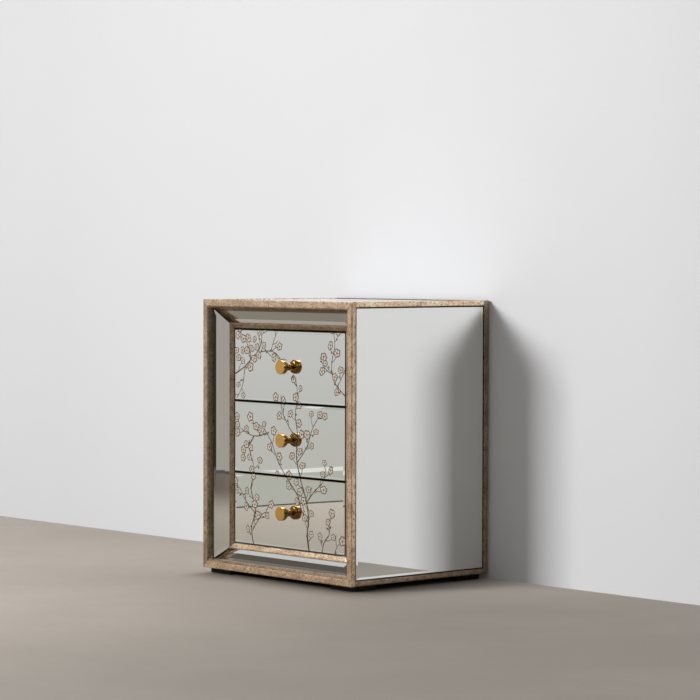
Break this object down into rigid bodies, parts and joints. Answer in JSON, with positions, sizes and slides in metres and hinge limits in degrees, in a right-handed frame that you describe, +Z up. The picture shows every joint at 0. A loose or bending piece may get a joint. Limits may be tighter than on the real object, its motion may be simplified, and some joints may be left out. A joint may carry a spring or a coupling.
{
  "type": "mirrored nightstand",
  "caption": "Bedside chest clad in bevelled mirror glass with antique gold mouldings, a splayed mirrored surround, round brass knobs and sliding drawers.",
  "frame": {"origin": "bottom centre of the nightstand, on the floor", "axes": "+Z up, the drawers face -Y, +X to the right seen from the front"},
  "size_m": [0.5, 0.4, 0.61],
  "materials": {
    "gilt": "antique gold leaf, mottled",
    "mirror": "silvered glass, bevelled",
    "brass": "polished",
    "black_board": "black paint",
    "foot_black": "satin black lacquer",
    "inner_board": "plain board",
    "drawer_board": "clear lacquered ply",
    "slide_steel": "zinc plated",
    "screw_steel": "zinc plated"
  },
  "bodies": {
    "case": {"front_stile_left": "gilt", "front_stile_right": "gilt", "front_rail_top": "gilt", "front_rail_bottom": "gilt", "rear_stile_left": "gilt", "rear_stile_right": "gilt", "rear_rail_top": "gilt", "rear_rail_bottom": "gilt", "corner_rail_top_left": "gilt", "corner_rail_top_right": "gilt", "corner_rail_bottom_left": "gilt", "corner_rail_bottom_right": "gilt", "inner_stile_left": "gilt", "inner_stile_right": "gilt", "inner_rail_top": "gilt", "inner_rail_bottom": "gilt", "mirror_top": "mirror", "mirror_side_left": "mirror", "mirror_side_right": "mirror", "splay_mirror_left": "mirror", "splay_mirror_right": "mirror", "splay_mirror_top": "mirror", "splay_mirror_bottom": "mirror", "splay_boards": "black_board", "side_panel_left": "black_board", "side_panel_right": "black_board", "top_panel": "black_board", "base_panel": "black_board", "back_panel": "black_board", "upright_left": "inner_board", "upright_right": "inner_board", "inner_top": "inner_board", "inner_bottom": "inner_board", "slide_channels": "slide_steel", "feet": "foot_black", "case_screws": "screw_steel"},
    "drawer_1": {"drawer_1_front": "black_board", "drawer_1_mirror": "mirror", "drawer_1_knob": "brass", "drawer_1_knob_screw": "screw_steel", "drawer_1_walls": "drawer_board", "drawer_1_bottom": "drawer_board", "drawer_1_slides": "slide_steel"},
    "cages_1": {"drawer_1_ball_cages": "slide_steel"},
    "drawer_2": {"drawer_2_front": "black_board", "drawer_2_mirror": "mirror", "drawer_2_knob": "brass", "drawer_2_knob_screw": "screw_steel", "drawer_2_walls": "drawer_board", "drawer_2_bottom": "drawer_board", "drawer_2_slides": "slide_steel"},
    "cages_2": {"drawer_2_ball_cages": "slide_steel"},
    "drawer_3": {"drawer_3_front": "black_board", "drawer_3_mirror": "mirror", "drawer_3_knob": "brass", "drawer_3_knob_screw": "screw_steel", "drawer_3_walls": "drawer_board", "drawer_3_bottom": "drawer_board", "drawer_3_slides": "slide_steel"},
    "cages_3": {"drawer_3_ball_cages": "slide_steel"}
  },
  "joints": [
    {"name": "drawer_1_slide", "type": "slide", "parent": "case", "child": "drawer_1", "axis": [0, -1, 0], "range_m": [0, 0.22]},
    {"name": "cages_1_slide", "type": "slide", "parent": "case", "child": "cages_1", "axis": [0, -1, 0], "range_m": [0, 0.11]},
    {"name": "drawer_2_slide", "type": "slide", "parent": "case", "child": "drawer_2", "axis": [0, -1, 0], "range_m": [0, 0.22]},
    {"name": "cages_2_slide", "type": "slide", "parent": "case", "child": "cages_2", "axis": [0, -1, 0], "range_m": [0, 0.11]},
    {"name": "drawer_3_slide", "type": "slide", "parent": "case", "child": "drawer_3", "axis": [0, -1, 0], "range_m": [0, 0.22]},
    {"name": "cages_3_slide", "type": "slide", "parent": "case", "child": "cages_3", "axis": [0, -1, 0], "range_m": [0, 0.11]}
  ],
  "couplings": [
    {"joint": "cages_1_slide", "follows": "drawer_1_slide", "ratio": 0.5},
    {"joint": "cages_2_slide", "follows": "drawer_2_slide", "ratio": 0.5},
    {"joint": "cages_3_slide", "follows": "drawer_3_slide", "ratio": 0.5}
  ]
}
